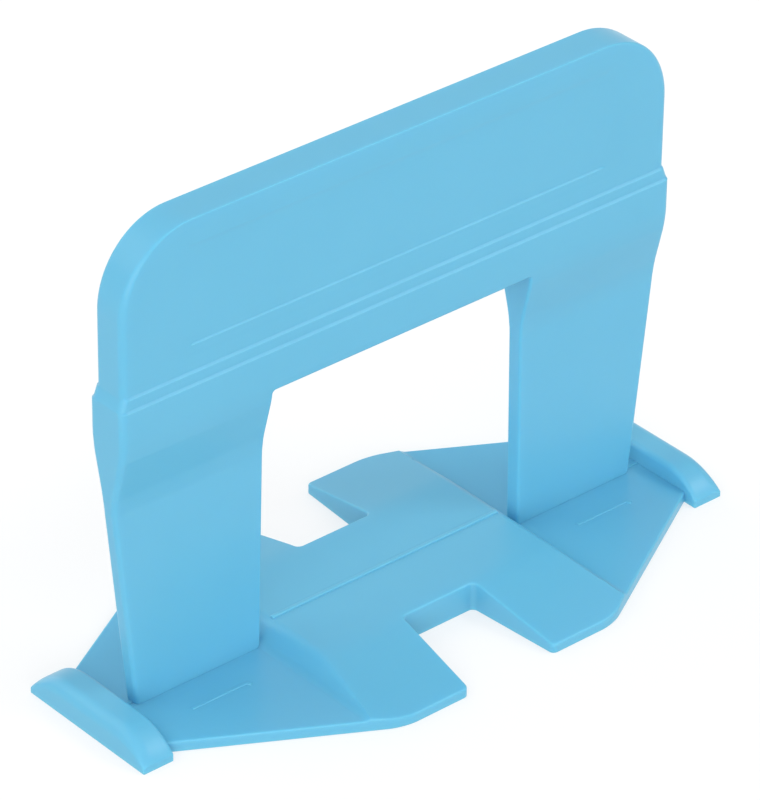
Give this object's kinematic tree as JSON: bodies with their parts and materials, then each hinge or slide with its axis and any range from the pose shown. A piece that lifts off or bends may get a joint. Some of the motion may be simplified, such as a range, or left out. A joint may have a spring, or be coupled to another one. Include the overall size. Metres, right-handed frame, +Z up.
{
  "type": "tile levelling clip",
  "caption": "One-piece plastic tile levelling clip: a notched flat base, thin break-off legs around a wedge window, and a stiff rounded top panel.",
  "frame": {"origin": "middle of the base's flat underside, under the middle of the window", "axes": "+X along the tile joint and the length of the base, +Y across the joint towards the panel's plain back, +Z up to the top rim"},
  "size_m": [0.05, 0.025, 0.0355],
  "materials": {
    "clip": "satin light blue injection-moulded polypropylene"
  },
  "bodies": {
    "root": {"clip": "clip"}
  },
  "joints": []
}
